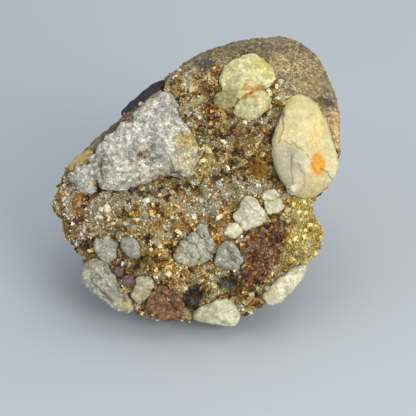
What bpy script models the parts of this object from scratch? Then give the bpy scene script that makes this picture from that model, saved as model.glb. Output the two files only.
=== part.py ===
"""Puddingstone: a hand-sized lump of quartz pebble conglomerate, as one solid.

The lump leans back on a small flat spot. Its freshly broken face looks forward and up, and smooth
weathered skin wraps its top, its back and its far side. All forms are laid out on the broken face,
in millimetres: across to the right, up along the face, and out of the face towards the viewer.
"""
import math

import bmesh
import bpy
import numpy as np
from mathutils import Matrix, Vector, bvhtree, noise

MILLIMETRE = 0.001

# How the stone sits: the broken face leans back, and its middle stands over and before the flat spot
FACE_LEAN = math.radians(35)
FACE_HEIGHT = 72.5
FACE_BEFORE_SPOT = 34.2
SPOT_ACROSS = 1.8

# The block under the pebbles: its thickness behind the face, and the point that its facets surround
THICKNESS = 94.0
CORE = Vector((0.0, -3.0, -40.0))
EDGE_SHARPNESS = 52
BLOCK_STEPS = 6

# Facets that the break left, each as turn on the face and lean towards the viewer in degrees, then
# its distance from the face's middle and its depth there behind the face in millimetres
BROKEN_FACETS = {
    "face": (0, 90, 0, -4),
    "upper left face": (135, 66, 46, 5),
    "top face": (100, 70, 52, 3),
    "right face": (352, 71, 62, 6),
    "lower right face": (315, 66, 64, 7),
    "lower face": (268, 64, 64, 9),
    "lower left face": (228, 66, 66, 8),
    "left face": (182, 66, 66, 7),
    "left end": (202, -14, 70.8, 0),
    "left end top": (176, -8, 71.5, 0),
    "bottom left": (235, -20, 76, 0),
    "bottom": (262, -24, 73.4, 0),
    "bottom right": (300, -24, 73.4, 0),
    "lower right": (322, -14, 75.5, 0),
    "right low": (336, -8, 67.5, 0),
}

# Facets of weathered skin, in the same terms
SKIN_FACETS = {
    "right": (342, -6, 62, 6),
    "right band": (5, 32, 67, 0),
    "right rim": (3, 0, 72.5, 0),
    "shoulder band": (34, 40, 67, 0),
    "shoulder rim": (33, 0, 85.4, 0),
    "corner band": (62, 42, 65, 0),
    "corner rim": (62, 0, 87, 0),
    "crest band": (96, 38, 55, 0),
    "crest rim": (102, 0, 65.5, 0),
    "top band": (113, 33, 51.5, 0),
    "top rim": (118, 0, 55.5, 0),
    "upper left band": (130, 26, 47, 0),
    "upper left rim": (131, 0, 48.0, 0),
    "left shoulder": (154, 0, 60.6, 0),
    "back": (0, -90, 0, THICKNESS),
    "back top": (85, -38, 64, 42),
    "back right": (10, -42, 66, 50),
    "back left": (175, -38, 62, 46),
    "back upper left": (130, -30, 50, 44),
    "back corner": (45, -36, 78, 40),
    "under": (270, -35, 93.5, 0),
    "under left": (228, -46, 64, 48),
    "under right": (318, -46, 62, 50),
}

# Texture of the two surfaces: lump sizes and their heights in millimetres
BROKEN_LUMPS = ((23.0, 3.4), (10.0, 3.0), (5.0, 1.6))
SKIN_LUMPS = ((30.0, 2.4), (11.0, 0.9))
CHIP_LUMPS = ((9.0, 2.2), (4.0, 1.2))

# Hollows in the broken face: place across, up and out, radii in the same order, depth pushed in
HOLLOWS = {
    "notch below the cream pebble": (66, -13, -4, 12, 7, 34, 9.5),
    "dark hollow by the red clast": (-3, -57, 0, 6, 8, 12, 6.0),
    "dark hollow at the bottom": (14, -51, 2, 6, 5, 12, 4.5),
    "crack at the left": (-58, -12, -2, 4, 7, 12, 3.0),
    "groove in the quartzite": (-49, 5, 2, 2.5, 8, 8, 2.0),
    "pocket beside the yellow cap": (8, 42, 4, 7, 5, 9, 2.0),
    "pocket left of the cream pebble": (31, 10, 4, 5, 12, 9, 3.5),
    "pocket above the grey pair": (-8, -12, 4, 9, 5, 9, 1.6),
}

# Pebbles cut by the broken face: outline on the face, height above it, roundness from 0 to 1
FACE_PEBBLES = {
    "yellow_cap": ([(13, 56), (22, 62), (29, 62), (35, 56.5), (38, 50), (34, 45.5), (27, 44.5), (20, 40),
                    (15, 43), (10.5, 47)], 4.6, 0.6),
    "second_yellow": ([(20.5, 40), (27, 44.5), (34, 44.5), (36, 39), (33, 34.5), (25, 29), (17, 33)], 3.0, 0.5),
    "great_cream": ([(44, 41), (50, 43), (58, 38), (63, 28), (67, 16), (69, 8.5), (66, 1.5), (58, -6.5),
                     (53, -8.5), (45, -5), (39, 4), (36, 14), (37, 22), (41, 32)], 6.5, 0.75),
    "quartzite": ([(-31, 38.5), (-25, 42.5), (-20, 46), (-11.5, 43), (-9.5, 31), (-4, 25), (-1, 18), (0, 13),
                   (-2, 7.5), (-2.5, 2.5), (-6, 1.5), (-12.7, 5), (-19, 2.5), (-30, -1), (-41, -4), (-48, -3),
                   (-50, 3), (-50, 14), (-44, 21), (-38.5, 27.5), (-37, 32)], 5.0, 0.3),
    "quartzite_left": ([(-63.5, 3), (-58, 9), (-50.5, 14), (-47.5, 6), (-50, -4), (-56, -6)], 3.4, 0.4),
    "white_irregular": ([(-51, -28), (-44, -26), (-39, -30), (-41, -37), (-45, -40), (-51, -34)], 2.2, 0.4),
    "layered_rim": ([(-53, -38), (-48, -37), (-43, -45), (-37, -54), (-31, -61), (-34, -65), (-40, -63),
                     (-48, -57), (-57, -49), (-58, -43)], 4.0, 0.3),
    "pale_oblong": ([(-29, -47), (-23, -46), (-22, -50), (-26, -58), (-29, -59), (-33, -56)], 2.8, 0.5),
    "red_angular": ([(-22, -53), (-16, -51), (-10, -55), (-7, -62), (-9, -67), (-16, -68), (-26, -62)],
                    3.0, 0.3),
    "white_foot": ([(1, -62), (9, -58), (15, -57), (18, -61), (21, -66), (17, -71), (8, -69.5),
                    (-5, -67)], 4.5, 0.7),
    "white_lower_right": ([(32, -54), (40, -48), (46, -42), (52, -41), (53, -45), (47, -52), (39, -60),
                           (33, -60)], 4.0, 0.6),
    "fan": ([(23, -7), (28, -8), (33, -17), (32, -20), (22, -24), (17, -17)], 3.6, 0.6),
    "small_angular": ([(15, -20), (20, -20), (22, -24), (18, -28), (13, -25)], 2.6, 0.3),
    "grey_band": ([(-2, -21), (3, -21), (7, -28), (8, -34), (5, -34), (1, -27)], 2.4, 0.5),
    "grey_curved": ([(-11, -33), (-5, -26), (-1, -25), (4, -31), (7, -36), (2, -40), (-7, -40), (-11, -37)],
                    2.8, 0.4),
    "grey_white": ([(11, -30), (16, -29), (22, -38), (20, -41), (14, -43), (8, -39)], 2.6, 0.4),
    "pale_shard": ([(32, -9), (40, -8), (42, -12), (39, -15), (34, -16)], 2.2, 0.3),
    "red_porous": ([(21, -29), (26, -24.5), (37, -20), (42.5, -20), (43, -27), (40.5, -34), (37, -42),
                    (33, -48), (27.5, -51), (20.5, -50.5), (19, -46), (23.4, -41), (22, -36)], 3.2, 0.3),
}

# How far a pebble reaches into the stone, as a share of its width
ROOT_SHARE = 0.22

# Where the block is felt for under a pebble, as shares of the way to its outline; the most it may drop
# there; the reach from which a pebble bends with the block; how much it holds out against tipping
SEAT_SHARES = (0.35, 0.7, 0.95)
SEAT_DROP = 16.0
WIDE_REACH = 8.0
SEAT_STIFFNESS = 0.02

# How far round its outline a pebble's corners are worn off
CORNER_WEAR = math.radians(9)

# Oval pebbles of the broken face: across, up, length, width, turn in degrees, height, roundness
OVAL_PEBBLES = {
    "yellow_tail": (13.5, 40, 12.5, 9.5, 20, 2.6, 0.6),
    "grey_oval": (-32.5, -32, 12.7, 8.4, -52, 2.8, 0.8),
    "small_oblong": (35.6, -6.4, 8.5, 5, 8, 2.4, 0.6),
    "cream_nub": (46.5, -3, 7, 5.5, -25, 7.5, 0.9),
    "left_bump": (-66.5, -11.5, 9.5, 13, 5, 3.4, 0.9),
    "dark_edge": (-27.2, 41.6, 31, 5.0, 39, 1.2, 0.9),
    "yellow_edge": (-57.5, 10.8, 16, 4.5, 38, 1.4, 0.8),
    "purple_upper": (-39, -44, 6, 5, 30, 1.6, 0.5),
    "purple_lower": (-34, -48.5, 7, 4.5, -30, 1.6, 0.5),
    "white_nub": (51, -43, 5.5, 4.5, 40, 3.5, 0.7),
    "matrix_bulge": (51, -26, 20, 25, 12, 3.0, 0.6),
    "skin_ridge": (45.5, 60, 9, 4, -35, 1.5, 0.9),
}

# Flush pebbles of the weathered skin, spread evenly by the golden angle
SKIN_PEBBLES = 90
SKIN_PEBBLE_LENGTHS = (24.0, 9.0, 14.0, 8.0, 18.0, 7.0, 11.0, 16.0)
SKIN_PEBBLE_WIDTH = 0.74
SKIN_PEBBLE_HEIGHT = 1.3
GOLDEN_ANGLE = math.pi * (3.0 - math.sqrt(5.0))

# Share of the joined stone's triangles that its form needs
TRIANGLES_KEPT = 0.195

STONE_COLOUR = (0.47, 0.37, 0.22, 1.0)
STONE_ROUGHNESS = 0.85


def face_frame():
    """Turn millimetres on the broken face into metres in the world, with the flat spot's middle at 0."""
    across = Vector((1.0, 0.0, 0.0))
    up = Vector((0.0, math.sin(FACE_LEAN), math.cos(FACE_LEAN)))
    out = Vector((0.0, -math.cos(FACE_LEAN), math.sin(FACE_LEAN)))
    turn = Matrix((across, up, out)).transposed().to_4x4()
    middle = Matrix.Translation((-SPOT_ACROSS, -FACE_BEFORE_SPOT, FACE_HEIGHT))
    return Matrix.Scale(MILLIMETRE, 4) @ middle @ turn


def facet_planes(facets):
    """Normal of each facet, and its distance from the core."""
    planes = []
    for turn, lean, distance, depth in facets.values():
        turn, lean = math.radians(turn), math.radians(lean)
        outward = Vector((math.cos(turn), math.sin(turn), 0.0))
        normal = outward * math.cos(lean) + Vector((0.0, 0.0, math.sin(lean)))
        place = outward * distance - Vector((0.0, 0.0, depth))
        planes.append((normal, normal.dot(place - CORE)))
    return planes


def facet_pull(planes, direction):
    """How strongly a group of facets holds the surface in, along one direction from the core."""
    return sum(max(0.0, normal.dot(direction) / stop) ** EDGE_SHARPNESS for normal, stop in planes)


def lumps(place, sizes):
    """Uneven height of a rock surface at a place."""
    return sum(height * noise.noise(place / size) for size, height in sizes)


def hollow_depth(place):
    """How far the named hollows push the surface in at a place."""
    depth = 0.0
    for across, up, out, half_across, half_up, half_out, deep in HOLLOWS.values():
        offset = place - Vector((across, up, out))
        spread = (offset.x / half_across) ** 2 + (offset.y / half_up) ** 2 + (offset.z / half_out) ** 2
        depth += deep * math.exp(-spread)
    return depth


def make_block():
    """The stone without its pebbles: facets with worn edges, rough where broken and smooth in the skin."""
    broken, skin = facet_planes(BROKEN_FACETS), facet_planes(SKIN_FACETS)
    block = bmesh.new()
    bmesh.ops.create_icosphere(block, subdivisions=BLOCK_STEPS, radius=1.0)
    for vertex in block.verts:
        direction = vertex.co.normalized()
        broken_pull, skin_pull = facet_pull(broken, direction), facet_pull(skin, direction)
        reach = (broken_pull + skin_pull) ** (-1.0 / EDGE_SHARPNESS)
        roughness = broken_pull / (broken_pull + skin_pull)
        place = CORE + direction * reach
        height = roughness * lumps(place, BROKEN_LUMPS) + (1.0 - roughness) * lumps(place, SKIN_LUMPS)
        vertex.co = place + direction * (height - hollow_depth(place))
    return block


def oval(across, up, length, width, turn, uneven=0.0):
    """Outline of an oval, as points on the face."""
    turn = math.radians(turn)
    points = []
    for step in range(12):
        angle = step * math.tau / 12
        swell = 1.0 + uneven * noise.noise((math.cos(angle), math.sin(angle), length + turn))
        along, aside = 0.5 * length * swell * math.cos(angle), 0.5 * width * swell * math.sin(angle)
        points.append((across + along * math.cos(turn) - aside * math.sin(turn),
                       up + along * math.sin(turn) + aside * math.cos(turn)))
    return points


def outline_reach(outline, middle, angle):
    """Distance from the middle to the outline in one direction."""
    ray = Vector((math.cos(angle), math.sin(angle)))
    reach = 0.0
    for start, end in zip(outline, outline[1:] + outline[:1]):
        start, end = Vector(start) - middle, Vector(end) - middle
        edge = end - start
        crossing = ray.cross(edge)
        if abs(crossing) < 1e-9:
            continue
        distance, share = start.cross(edge) / crossing, start.cross(ray) / crossing
        if distance > 0.0 and -1e-6 <= share <= 1.0 + 1e-6:
            reach = max(reach, distance)
    return reach


def worn_reach(outline, middle, angle):
    """Distance to the outline with its corners worn off."""
    before, after = angle - CORNER_WEAR, angle + CORNER_WEAR
    sides = outline_reach(outline, middle, before) + outline_reach(outline, middle, after)
    return 0.5 * outline_reach(outline, middle, angle) + 0.25 * sides


def lump_on_outline(outline, height, root, roundness, steps):
    """A pebble whose widest section is the outline, flat-topped or domed as its roundness says."""
    middle = sum((Vector(point) for point in outline), Vector((0.0, 0.0))) / len(outline)
    spread = 0.35 + 0.5 * roundness
    pebble = bmesh.new()
    bmesh.ops.create_icosphere(pebble, subdivisions=steps, radius=1.0)
    for vertex in pebble.verts:
        across, up, out = vertex.co.normalized()
        angle, ring = math.atan2(up, across), math.hypot(across, up) ** spread
        reach = ring * worn_reach(outline, middle, angle)
        level = abs(out) ** (0.35 + 0.5 * roundness) * (height if out > 0.0 else -root)
        vertex.co = (middle.x + reach * math.cos(angle), middle.y + reach * math.sin(angle), level)
    return pebble


def chip(pebble, roundness, shift):
    """Uneven broken surface of a pebble, stronger on an angular one."""
    for vertex in pebble.verts:
        place = vertex.co + Vector((shift, 0.0, 0.0))
        vertex.co.z += (1.15 - roundness) * lumps(place, CHIP_LUMPS)


def seat_on_face(pebble, outline, surface):
    """Lay a pebble on the block: tipped with the slope under it, and bent with its curve if it is wide."""
    middle = sum((Vector(point) for point in outline), Vector((0.0, 0.0))) / len(outline)
    spots = [middle] + [middle.lerp(Vector(point), share) for point in outline for share in SEAT_SHARES]
    found = []
    for spot in spots:
        place = surface.ray_cast(Vector((spot.x, spot.y, 60.0)), Vector((0.0, 0.0, -1.0)))[0]
        if place is not None:
            found.append(place)
    highest = max(place.z for place in found)
    found = [place for place in found if place.z > highest - SEAT_DROP]
    reach = max((Vector(point) - middle).length for point in outline)

    def terms(spot):
        across, up = (spot.x - middle.x) / reach, (spot.y - middle.y) / reach
        bend = 1.0 if reach > WIDE_REACH else 0.0
        return 1.0, across, up, bend * across * across, bend * across * up, bend * up * up

    level = sum(place.z for place in found) / len(found)
    stiff = SEAT_STIFFNESS * len(found) * np.diag((0.0, 1.0, 1.0, 2.0, 2.0, 2.0))
    rows = np.array([terms(place) for place in found])
    rises = np.array([place.z - level for place in found])
    fit = np.linalg.lstsq(rows.T @ rows + stiff, rows.T @ rises, rcond=None)[0]
    for vertex in pebble.verts:
        vertex.co.z += level + float(np.dot(terms(vertex.co), fit))


def seat_on_skin(pebble, place, normal):
    """Move a pebble made at the middle of the face onto the skin, lying flat in it."""
    turn = normal.to_track_quat("Z", "Y").to_matrix().to_4x4()
    bmesh.ops.transform(pebble, matrix=Matrix.Translation(place) @ turn, verts=pebble.verts)


def add_helper(name, mesh_data, collection):
    """Put a mesh into the scene as a helper that is joined to or cut from the stone."""
    bmesh.ops.transform(mesh_data, matrix=face_frame(), verts=mesh_data.verts)
    mesh = bpy.data.meshes.new(name)
    mesh_data.to_mesh(mesh)
    mesh_data.free()
    helper = bpy.data.objects.new(name, mesh)
    helper.hide_render = True
    helper.display_type = "WIRE"
    collection.objects.link(helper)
    return helper


def add_face_pebbles(surface, collection):
    """The pebbles that the break laid open."""
    pebbles = dict(FACE_PEBBLES)
    for name, (across, up, length, width, turn, height, roundness) in OVAL_PEBBLES.items():
        pebbles[name] = (oval(across, up, length, width, turn), height, roundness)
    for number, (name, (outline, height, roundness)) in enumerate(pebbles.items()):
        extent = max(point[0] for point in outline) - min(point[0] for point in outline)
        root = height + ROOT_SHARE * extent
        pebble = lump_on_outline(outline, height, root, roundness, 4 if extent > 16.0 else 3)
        chip(pebble, roundness, 30.0 * number)
        seat_on_face(pebble, outline, surface)
        add_helper(name, pebble, collection)


def add_skin_pebbles(surface, collection):
    """The pebbles that lie almost flush in the weathered back, top and underside."""
    for number in range(SKIN_PEBBLES):
        height = 1.0 - 2.0 * (number + 0.5) / SKIN_PEBBLES
        ring, angle = math.sqrt(1.0 - height * height), number * GOLDEN_ANGLE
        direction = Vector((ring * math.cos(angle), ring * math.sin(angle), height))
        place, normal, _, _ = surface.ray_cast(CORE, direction)
        if normal.z > -0.15 or place.z > -14.0:
            continue
        length = SKIN_PEBBLE_LENGTHS[number % len(SKIN_PEBBLE_LENGTHS)]
        outline = oval(0.0, 0.0, length, SKIN_PEBBLE_WIDTH * length, 47.0 * number, uneven=0.6)
        pebble = lump_on_outline(outline, SKIN_PEBBLE_HEIGHT, 0.3 * length, 0.85, 3)
        seat_on_skin(pebble, place, normal)
        add_helper(f"skin_pebble_{number}", pebble, collection)


def add_floor_cutter(collection):
    """A slab whose top is the resting plane: it cuts the flat spot."""
    slab = bmesh.new()
    bmesh.ops.create_cube(slab, size=0.3)
    bmesh.ops.translate(slab, vec=(0.0, 0.0, -0.15), verts=slab.verts)
    mesh = bpy.data.meshes.new("floor_cutter")
    slab.to_mesh(mesh)
    slab.free()
    cutter = bpy.data.objects.new("floor_cutter", mesh)
    cutter.hide_render = True
    cutter.display_type = "WIRE"
    collection.objects.link(cutter)
    return cutter


def stone_material():
    """Plain colour of the stone as a whole."""
    material = bpy.data.materials.new("puddingstone")
    material.use_nodes = True
    shader = material.node_tree.nodes["Principled BSDF"]
    shader.inputs["Base Color"].default_value = STONE_COLOUR
    shader.inputs["Roughness"].default_value = STONE_ROUGHNESS
    shader.inputs["Metallic"].default_value = 0.0
    return material


def main():
    """Build the stone: block, pebbles grown into it, fewer triangles, flat spot."""
    for leftover in list(bpy.data.objects):
        bpy.data.objects.remove(leftover, do_unlink=True)
    scene_objects = bpy.context.scene.collection
    pebbles = bpy.data.collections.new("pebbles")
    scene_objects.children.link(pebbles)

    block = make_block()
    surface = bvhtree.BVHTree.FromBMesh(block)
    add_face_pebbles(surface, pebbles)
    add_skin_pebbles(surface, pebbles)

    bmesh.ops.transform(block, matrix=face_frame(), verts=block.verts)
    mesh = bpy.data.meshes.new("puddingstone")
    block.to_mesh(mesh)
    block.free()
    mesh.materials.append(stone_material())
    mesh.shade_smooth()
    mesh.set_sharp_from_angle(angle=math.radians(40))
    stone = bpy.data.objects.new("puddingstone", mesh)
    scene_objects.objects.link(stone)

    join = stone.modifiers.new("pebbles", "BOOLEAN")
    join.operation = "UNION"
    join.operand_type = "COLLECTION"
    join.collection = pebbles
    join.solver = "EXACT"

    thin = stone.modifiers.new("fewer triangles", "DECIMATE")
    thin.ratio = TRIANGLES_KEPT
    thin.use_collapse_triangulate = True

    cut = stone.modifiers.new("flat spot", "BOOLEAN")
    cut.operation = "DIFFERENCE"
    cut.object = add_floor_cutter(scene_objects)
    cut.solver = "EXACT"


main()
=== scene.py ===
"""Visual model of a hand-sized lump of puddingstone: matrix, pebbles, grains of sand, floor and light."""
import math

import bmesh
import bpy
import numpy as np
from bpy.props import FloatProperty, FloatVectorProperty, IntProperty, PointerProperty
from mathutils import Matrix, Vector, bvhtree, noise


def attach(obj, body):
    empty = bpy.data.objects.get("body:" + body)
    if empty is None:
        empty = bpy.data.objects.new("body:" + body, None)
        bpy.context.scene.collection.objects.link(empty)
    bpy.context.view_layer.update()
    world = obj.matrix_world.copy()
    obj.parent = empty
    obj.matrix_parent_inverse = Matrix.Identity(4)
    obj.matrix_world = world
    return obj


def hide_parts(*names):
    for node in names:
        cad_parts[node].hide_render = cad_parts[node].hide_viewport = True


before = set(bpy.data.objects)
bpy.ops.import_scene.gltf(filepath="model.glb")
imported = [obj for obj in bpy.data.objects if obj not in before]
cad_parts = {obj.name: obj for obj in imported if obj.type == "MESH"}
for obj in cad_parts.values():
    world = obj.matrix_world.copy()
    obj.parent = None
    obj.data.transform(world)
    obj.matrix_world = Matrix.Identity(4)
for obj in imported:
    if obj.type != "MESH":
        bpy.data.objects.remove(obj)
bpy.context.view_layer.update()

bl_info = {
    "name": "Puddingstone",
    "version": (1, 0, 0),
    "blender": (4, 5, 0),
    "location": "3D View > Sidebar > Puddingstone",
    "description": "Builds a lump of quartz pebble conglomerate: matrix, pebbles and grains of sand",
    "category": "Add Mesh",
}

NODE = "puddingstone"
MILLIMETRE = 0.001

# The broken face: it leans back, and its middle stands over and before the flat spot
FACE_LEAN = math.radians(35)
FACE_HEIGHT = 72.5
FACE_BEFORE_SPOT = 34.2
SPOT_ACROSS = 1.8
CORE = Vector((0.0, -3.0, -40.0))

# How the pebbles of the solid are worn and chipped. Lumps and facets are sizes and heights in millimetres
CORNER_WEAR = math.radians(9)
ROOT_SHARE = 0.22
CHIP_LUMPS = ((9.0, 2.2), (4.0, 1.2))
OVAL_POINTS = 12

# How a pebble is laid on the solid: rays over its top, from a height, that count when they meet the solid
# near its place; wide pebbles may bend a little
RAYS = 240
RAY_HEIGHT = 60.0
RAY_DEPTH = 45.0
TOP_OUT = 0.4
FIRST_LIMIT = 7.0
LIMITS = (2.5, 1.5)
WIDE_REACH = 8.0
SEAT_STIFFNESS = 0.004

# Raggedness of the surfaces of the matrix and its pits
MATRIX_LUMPS = ((6.0, 1.2), (3.2, 1.3), (1.7, 0.8))
MATRIX_FACETS = (2.2, 0.6)
SKIN_LUMPS = ((7.0, 0.7), (2.4, 0.45))
SKIN_FACETS = ((3.4, 0.5), (1.5, 0.3))
PIT_SPACING = 3.4
PIT_SIZE = 0.3
PIT_DEPTH = 1.6
EDGE_SOFTNESS = 1.6
SEAM_WIDTH = 1.2
FAR = 12.0
FRINGE_WIDTH = 6.0
FRINGE_SAND = 0.3
CLOT_SIZE = 1.4
CLOT_STRENGTH = 1.8

# Edge of the break on the face: the skin starts outside it, and behind this depth
BREAK_EDGE = [(-13.7, 50.8), (-16, 47), (-32.7, 28.3), (-39, 20.5), (-46, 16.6), (-51.7, 11.7), (-60, 5.4),
              (-65.4, 2), (-74, -3), (-90, -20), (-90, -100), (90, -100), (90, 10), (73, 17), (67, 16),
              (64, 24), (60.5, 31), (56.5, 38.5), (45.9, 42), (39, 45.4), (35.6, 54.2), (31.2, 59.2),
              (22.2, 61.2), (11.7, 58.6), (1, 53.2)]
BREAK_DEPTH = 24.0

# Looks of the pebbles. Colours are sRGB, 0 to 255: main, second and vein. Then forms in millimetres: facets
# of the fracture (size, height), crystals (size, height, which also sets the painted shade at their borders)
# and mottling. Then shares of veins, pits and specks, the roughness, how ragged the outline is in
# millimetres, and how sugary the surface is
LOOK_PARTS = ("main", "second", "vein", "facet", "crystal", "mottle", "veins", "pits", "specks", "rough",
              "ragged", "sugar")
LOOK_ROWS = {
    "cream_quartz": ((214, 202, 150), (200, 184, 128), (176, 156, 100), (9, 0.35), (2.2, 0.12), 7.0, 0.25,
                     0.1, 0.14, 0.42, 0.5, 0.12),
    "yellow_quartz": ((230, 223, 172), (196, 186, 120), (146, 124, 56), (5, 0.5), (1.5, 0.2), 3.6, 0.4,
                      0.5, 0.3, 0.45, 0.8, 0.25),
    "quartzite": ((226, 223, 210), (174, 169, 148), (100, 100, 80), (4.5, 0.7), (1.3, 0.3), 2.6, 0.7, 0.5,
                  0.6, 0.6, 1.2, 0.6),
    "white_quartz": ((228, 223, 194), (190, 184, 148), (140, 124, 78), (5, 0.6), (1.3, 0.16), 3.2, 0.35,
                     0.5, 0.25, 0.5, 0.8, 0.3),
    "grey_quartz": ((194, 192, 172), (152, 149, 130), (100, 96, 76), (4.5, 0.8), (1.2, 0.22), 2.8, 0.6,
                    0.5, 0.4, 0.5, 0.9, 0.35),
    "layered": ((194, 191, 172), (148, 144, 124), (104, 98, 72), (4, 0.6), (1.2, 0.22), 2.6, 0.6, 0.6,
                0.45, 0.6, 0.9, 0.4),
    "grey_pebble": ((170, 168, 152), (126, 124, 108), (96, 94, 80), (6, 0.2), (1.2, 0.12), 2.8, 0.4, 0.3,
                    0.3, 0.5, 0.3, 0.4),
    "red": ((176, 130, 88), (116, 78, 48), (44, 28, 16), (3.5, 0.9), (1.3, 0.4), 2.0, 0.7, 0.8, 0.5, 0.8,
            1.0, 0.6),
    "brown_skin": ((168, 152, 104), (140, 118, 70), (98, 78, 44), (6, 0.2), (1.5, 0.08), 3.0, 0.3, 0.4,
                   0.3, 0.7, 0.4, 0.3),
    "yellow_skin": ((196, 172, 98), (160, 132, 70), (98, 78, 44), (6, 0.2), (1.5, 0.08), 3.0, 0.3, 0.3,
                    0.3, 0.7, 0.6, 0.3),
    "dark": ((46, 36, 42), (27, 22, 26), (62, 42, 46), (8, 0.1), (2.0, 0.03), 3.0, 0.2, 0.1, 0.1, 0.45,
             0.6, 0.2),
    "purple": ((140, 116, 104), (100, 80, 74), (60, 46, 40), (3, 0.4), (1.0, 0.2), 2.0, 0.4, 0.4, 0.5, 0.7,
               1.0, 0.4),
    "sandy": ((186, 166, 102), (150, 122, 62), (70, 56, 32), (3.5, 0.5), (1.5, 0.42), 2.0, 0.5, 0.6, 0.6,
              0.8, 1.0, 0.5),
}
LOOKS = {key: dict(zip(LOOK_PARTS, row), key=key) for key, row in LOOK_ROWS.items()}

# Pebbles cut by the break: outline on the face in millimetres, height, roundness, look
FACE_PEBBLES = {
    "yellow_cap": ([(13, 56), (22, 62), (29, 62), (35, 56.5), (38, 50), (34, 45.5), (27, 44.5), (20, 40),
                    (15, 43), (10.5, 47)], 4.6, 0.6, "yellow_quartz"),
    "second_yellow": ([(20.5, 40), (27, 44.5), (34, 44.5), (36, 39), (33, 34.5), (25, 29), (17, 33)], 3.0,
                      0.5, "yellow_quartz"),
    "great_cream": ([(44, 41), (50, 43), (58, 38), (63, 28), (67, 16), (69, 8.5), (66, 1.5), (58, -6.5),
                     (53, -8.5), (45, -5), (39, 4), (36, 14), (37, 22), (41, 32)], 6.5, 0.75,
                    "cream_quartz"),
    "quartzite": ([(-29, 35.5), (-23.5, 40), (-18.5, 43.5), (-11.5, 43), (-9.5, 31), (-4, 25), (-1, 18),
                   (0, 13), (-2, 7.5), (-2.5, 2.5), (-6, 1.5), (-12.7, 5), (-19, 2.5), (-30, -1), (-41, -4),
                   (-48, -3), (-50, 3), (-50, 14), (-44, 21), (-38.5, 26.5), (-35.5, 29.5)], 5.0, 0.3,
                  "quartzite"),
    "quartzite_left": ([(-63.5, 3), (-58, 9), (-50.5, 14), (-47.5, 6), (-50, -4), (-56, -6)], 3.4, 0.4,
                       "quartzite"),
    "white_irregular": ([(-51, -28), (-44, -26), (-39, -30), (-41, -37), (-45, -40), (-51, -34)], 2.2, 0.4,
                        "layered"),
    "layered_rim": ([(-53, -38), (-48, -37), (-43, -45), (-37, -54), (-31, -61), (-34, -65), (-40, -63),
                     (-48, -57), (-57, -49), (-58, -43)], 4.0, 0.3, "layered"),
    "pale_oblong": ([(-29, -47), (-23, -46), (-22, -50), (-26, -58), (-29, -59), (-33, -56)], 2.8, 0.5,
                    "white_quartz"),
    "red_angular": ([(-22, -53), (-16, -51), (-10, -55), (-7, -62), (-9, -67), (-16, -68), (-26, -62)],
                    3.0, 0.3, "red"),
    "white_foot": ([(1, -62), (9, -58), (15, -57), (18, -61), (21, -66), (17, -71), (8, -69.5),
                    (-5, -67)], 4.5, 0.7, "white_quartz"),
    "white_lower_right": ([(32, -54), (40, -48), (46, -42), (52, -41), (53, -45), (47, -52), (39, -60),
                           (33, -60)], 4.0, 0.6, "white_quartz"),
    "fan": ([(23, -7), (28, -8), (33, -17), (32, -20), (22, -24), (17, -17)], 3.6, 0.6, "white_quartz"),
    "small_angular": ([(15, -20), (20, -20), (22, -24), (18, -28), (13, -25)], 2.6, 0.3, "white_quartz"),
    "grey_band": ([(-2, -21), (3, -21), (7, -28), (8, -34), (5, -34), (1, -27)], 2.4, 0.5, "grey_quartz"),
    "grey_curved": ([(-11, -33), (-5, -26), (-1, -25), (4, -31), (7, -36), (2, -40), (-7, -40), (-11, -37)],
                    2.8, 0.4, "grey_quartz"),
    "grey_white": ([(11, -30), (16, -29), (22, -38), (20, -41), (14, -43), (8, -39)], 2.6, 0.4,
                   "grey_quartz"),
    "pale_shard": ([(32, -9), (40, -8), (42, -12), (39, -15), (34, -16)], 2.2, 0.3, "white_quartz"),
    "red_porous": ([(21, -29), (26, -24.5), (37, -20), (42.5, -20), (43, -27), (40.5, -34), (37, -42),
                    (33, -48), (27.5, -51), (20.5, -50.5), (19, -46), (23.4, -41), (22, -36)], 3.2, 0.3,
                   "red"),
}

# Oval pebbles of the break: across, up, length, width, turn in degrees, height, roundness, look
OVAL_PEBBLES = {
    "yellow_tail": (13.5, 40, 12.5, 9.5, 20, 2.6, 0.6, "yellow_quartz"),
    "grey_oval": (-32.5, -32, 12.7, 8.0, -52, 2.8, 0.8, "grey_pebble"),
    "small_oblong": (35.6, -6.4, 8.5, 5, 8, 2.4, 0.6, "white_quartz"),
    "cream_nub": (46.5, -3, 7, 5.5, -25, 7.5, 0.9, "white_quartz"),
    "left_bump": (-66.5, -11.5, 9.5, 13, 5, 3.4, 0.9, "quartzite"),
    "dark_edge": (-27.2, 41.2, 32, 4.4, 39, 1.2, 0.9, "dark"),
    "yellow_edge": (-57.5, 10.8, 16, 4.5, 38, 1.4, 0.8, "yellow_skin"),
    "purple_upper": (-39, -44, 6, 5, 30, 1.6, 0.5, "purple"),
    "purple_lower": (-34, -48.5, 7, 4.5, -30, 1.6, 0.5, "purple"),
    "white_nub": (51, -43, 5.5, 4.5, 40, 3.5, 0.7, "white_quartz"),
    "matrix_bulge": (51, -26, 20, 25, 12, 3.0, 0.6, "sandy"),
    "skin_ridge": (45.5, 60, 9, 4, -35, 1.5, 0.9, "brown_skin"),
}

# Pebbles of the solid that the sandy matrix itself covers
SANDY_LUMPS = ("matrix_bulge", "skin_ridge", "red_porous", "left_bump")
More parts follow.
